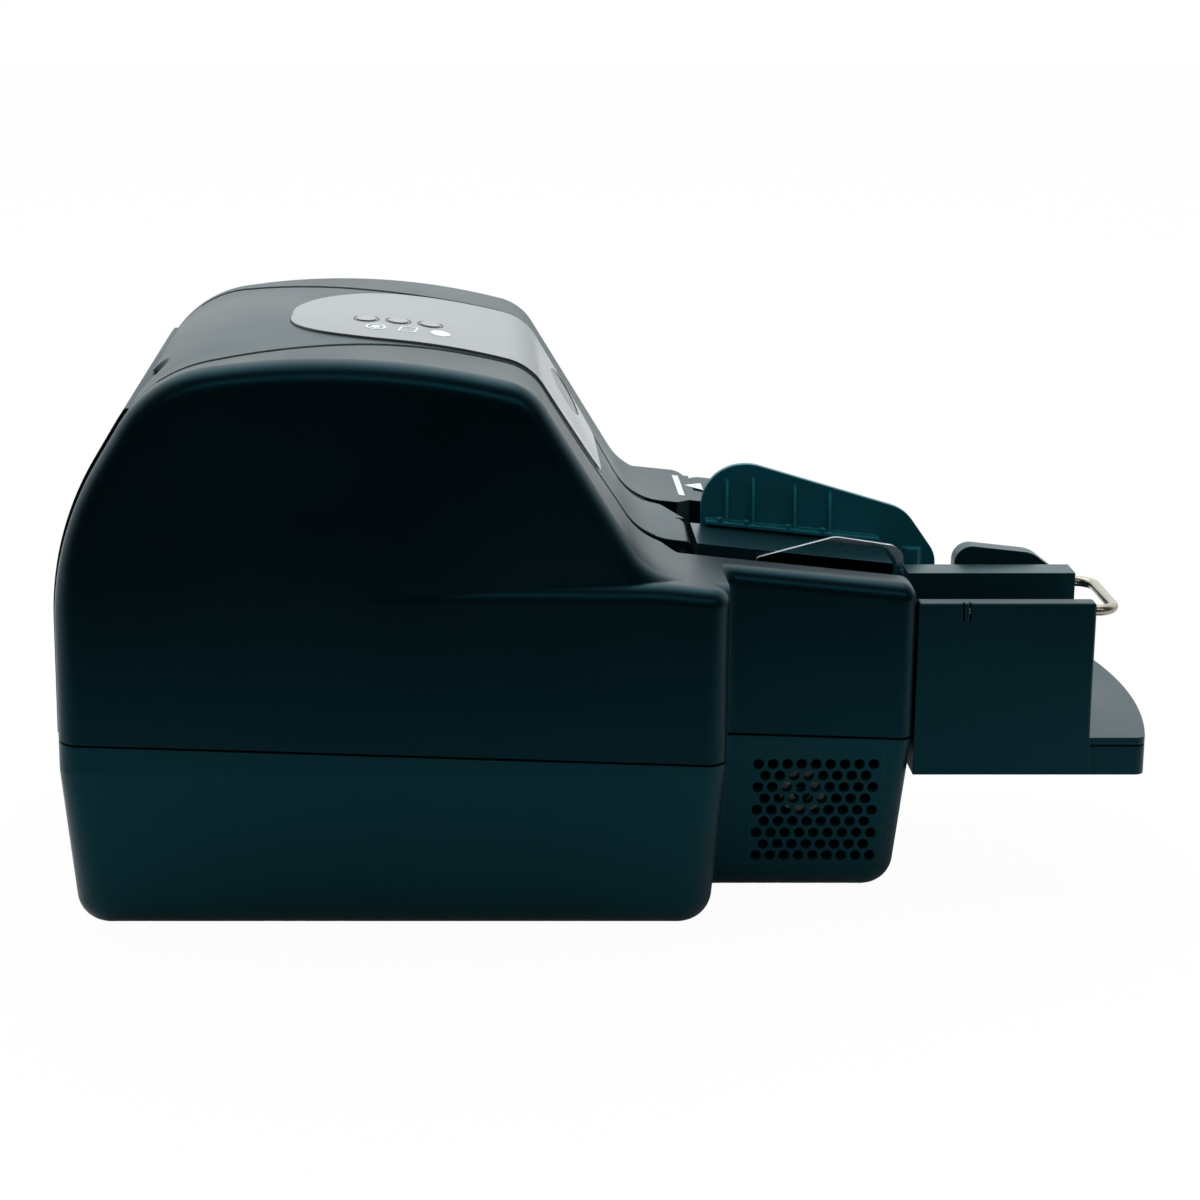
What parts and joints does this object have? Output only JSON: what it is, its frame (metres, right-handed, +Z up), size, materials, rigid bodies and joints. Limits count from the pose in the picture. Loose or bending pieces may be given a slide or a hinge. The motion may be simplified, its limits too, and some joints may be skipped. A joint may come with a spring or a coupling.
{
  "type": "cheque scanner",
  "caption": "Desktop cheque scanner with a domed hinged cover, side casings, an entry hopper with a ribbed pusher, an exit pocket and a sliding wire stop.",
  "frame": {"origin": "centre of the bounding box in plan, on the surface that the feet stand on", "axes": "+X to the front, where the hopper and the pocket are; +Y to the entry side; +Z up"},
  "size_m": [0.305, 0.14, 0.1607],
  "materials": {
    "casing_plastic": "fine texture",
    "cover_plastic": "fine texture",
    "panel_gloss": "gloss",
    "inlay_gloss": "gloss",
    "lamp_plastic": "translucent",
    "clear_plastic": "clear",
    "black_plastic": "satin",
    "track_plastic": "smooth",
    "white_plastic": "smooth",
    "steel": "ground",
    "nickel_wire": "polished",
    "bush_brass": "turned",
    "rubber": "matt",
    "board_green": "solder mask",
    "socket_metal": "plated"
  },
  "bodies": {
    "body": {"exit_side_casing": "casing_plastic", "entry_side_casing": "casing_plastic", "base_pan": "casing_plastic", "fan_grille": "casing_plastic", "rear_panel": "black_plastic", "hinge_pin": "steel", "feet": "rubber", "base_screws": "steel", "main_board": "board_green", "usb_socket": "socket_metal", "power_jack": "black_plastic", "fan_frame": "black_plastic", "chassis_floor": "track_plastic", "shaft_bushes": "bush_brass", "inner_guide": "track_plastic", "entry_outer_guide": "track_plastic", "exit_outer_guide": "track_plastic", "turn_guide": "track_plastic", "centre_deck": "casing_plastic", "front_tray": "casing_plastic", "pocket_wall": "casing_plastic", "pocket_divider": "casing_plastic", "pusher_pin": "steel", "clear_exit_guide": "clear_plastic", "roller_pins": "steel", "drive_belt": "rubber", "feed_belt": "rubber", "drive_motor": "steel", "magnetic_head": "socket_metal", "magnet": "steel", "cartridge_holder": "track_plastic", "ink_cartridge": "black_plastic", "camera_entry": "black_plastic", "camera_glass_entry": "clear_plastic", "camera_exit": "black_plastic", "camera_glass_exit": "clear_plastic"},
    "cover": {"centre_cover": "cover_plastic", "indicator_panel": "panel_gloss", "indicator_lamps": "lamp_plastic", "slope_inlay": "inlay_gloss"},
    "pusher": {"pusher_plate": "cover_plastic"},
    "pocket_stop": {"pocket_stop_wire": "nickel_wire"},
    "fan": {"fan_rotor": "track_plastic"},
    "motor_shaft": {"motor_pulley": "steel"},
    "feed": {"feed_roller": "rubber"},
    "pick": {"pick_roller": "rubber"},
    "separator": {"separator_roller": "rubber"},
    "drive_front_exit": {"drive_roller_front_exit": "rubber"},
    "pinch_front_exit": {"pinch_roller_front_exit": "white_plastic"},
    "drive_front_entry": {"drive_roller_front_entry": "rubber"},
    "pinch_front_entry": {"pinch_roller_front_entry": "white_plastic"},
    "drive_rear_exit": {"drive_roller_rear_exit": "rubber"},
    "pinch_rear_exit": {"pinch_roller_rear_exit": "white_plastic"},
    "drive_rear_entry": {"drive_roller_rear_entry": "rubber"},
    "pinch_rear_entry": {"pinch_roller_rear_entry": "white_plastic"}
  },
  "joints": [
    {"name": "cover_hinge", "type": "hinge", "parent": "body", "child": "cover", "pos_m": [0.0194, 0, 0.0959], "axis": [0, 1, 0], "range_deg": [0, 60]},
    {"name": "pusher_swing", "type": "hinge", "parent": "body", "child": "pusher", "pos_m": [0.088, 0.0026, 0.07], "axis": [0, 0, -1], "range_deg": [0, 18]},
    {"name": "stop_slide", "type": "slide", "parent": "body", "child": "pocket_stop", "axis": [1, 0, 0], "range_m": [0, 0.03]},
    {"name": "fan_spin", "type": "hinge", "parent": "body", "child": "fan", "pos_m": [0.053, -0.0295, 0.0295], "axis": [0, 1, 0], "continuous": true},
    {"name": "motor_spin", "type": "hinge", "parent": "body", "child": "motor_shaft", "pos_m": [-0.046, 0.0129, 0.04], "axis": [0, 0, 1], "continuous": true},
    {"name": "feed_spin", "type": "hinge", "parent": "body", "child": "feed", "pos_m": [0.00617, 0.0293, 0.06], "axis": [0, 0, 1], "continuous": true},
    {"name": "pick_spin", "type": "hinge", "parent": "body", "child": "pick", "pos_m": [0.034, 0.0336, 0.06], "axis": [0, 0, 1], "continuous": true},
    {"name": "separator_spin", "type": "hinge", "parent": "body", "child": "separator", "pos_m": [0.00617, 0.015, 0.06], "axis": [0, 0, 1], "continuous": true},
    {"name": "drive_spin_front_exit", "type": "hinge", "parent": "body", "child": "drive_front_exit", "pos_m": [-0.014, -0.0129, 0.06], "axis": [0, 0, 1], "continuous": true},
    {"name": "pinch_spin_front_exit", "type": "hinge", "parent": "body", "child": "pinch_front_exit", "pos_m": [-0.014, -0.0287, 0.06], "axis": [0, 0, 1], "continuous": true},
    {"name": "drive_spin_front_entry", "type": "hinge", "parent": "body", "child": "drive_front_entry", "pos_m": [-0.014, 0.0129, 0.06], "axis": [0, 0, 1], "continuous": true},
    {"name": "pinch_spin_front_entry", "type": "hinge", "parent": "body", "child": "pinch_front_entry", "pos_m": [-0.014, 0.0287, 0.06], "axis": [0, 0, 1], "continuous": true},
    {"name": "drive_spin_rear_exit", "type": "hinge", "parent": "body", "child": "drive_rear_exit", "pos_m": [-0.069, -0.0129, 0.06], "axis": [0, 0, 1], "continuous": true},
    {"name": "pinch_spin_rear_exit", "type": "hinge", "parent": "body", "child": "pinch_rear_exit", "pos_m": [-0.069, -0.0287, 0.06], "axis": [0, 0, 1], "continuous": true},
    {"name": "drive_spin_rear_entry", "type": "hinge", "parent": "body", "child": "drive_rear_entry", "pos_m": [-0.069, 0.0129, 0.06], "axis": [0, 0, 1], "continuous": true},
    {"name": "pinch_spin_rear_entry", "type": "hinge", "parent": "body", "child": "pinch_rear_entry", "pos_m": [-0.069, 0.0287, 0.06], "axis": [0, 0, 1], "continuous": true}
  ],
  "couplings": [
    {"joint": "motor_spin", "follows": "drive_spin_front_entry", "ratio": 1},
    {"joint": "feed_spin", "follows": "drive_spin_front_entry", "ratio": -1},
    {"joint": "pick_spin", "follows": "drive_spin_front_entry", "ratio": -1},
    {"joint": "drive_spin_front_exit", "follows": "drive_spin_front_entry", "ratio": 1},
    {"joint": "pinch_spin_front_exit", "follows": "drive_spin_front_entry", "ratio": -1.3846},
    {"joint": "pinch_spin_front_entry", "follows": "drive_spin_front_entry", "ratio": -1.3846},
    {"joint": "drive_spin_rear_exit", "follows": "drive_spin_front_entry", "ratio": 1},
    {"joint": "pinch_spin_rear_exit", "follows": "drive_spin_front_entry", "ratio": -1.3846},
    {"joint": "drive_spin_rear_entry", "follows": "drive_spin_front_entry", "ratio": 1},
    {"joint": "pinch_spin_rear_entry", "follows": "drive_spin_front_entry", "ratio": -1.3846}
  ]
}
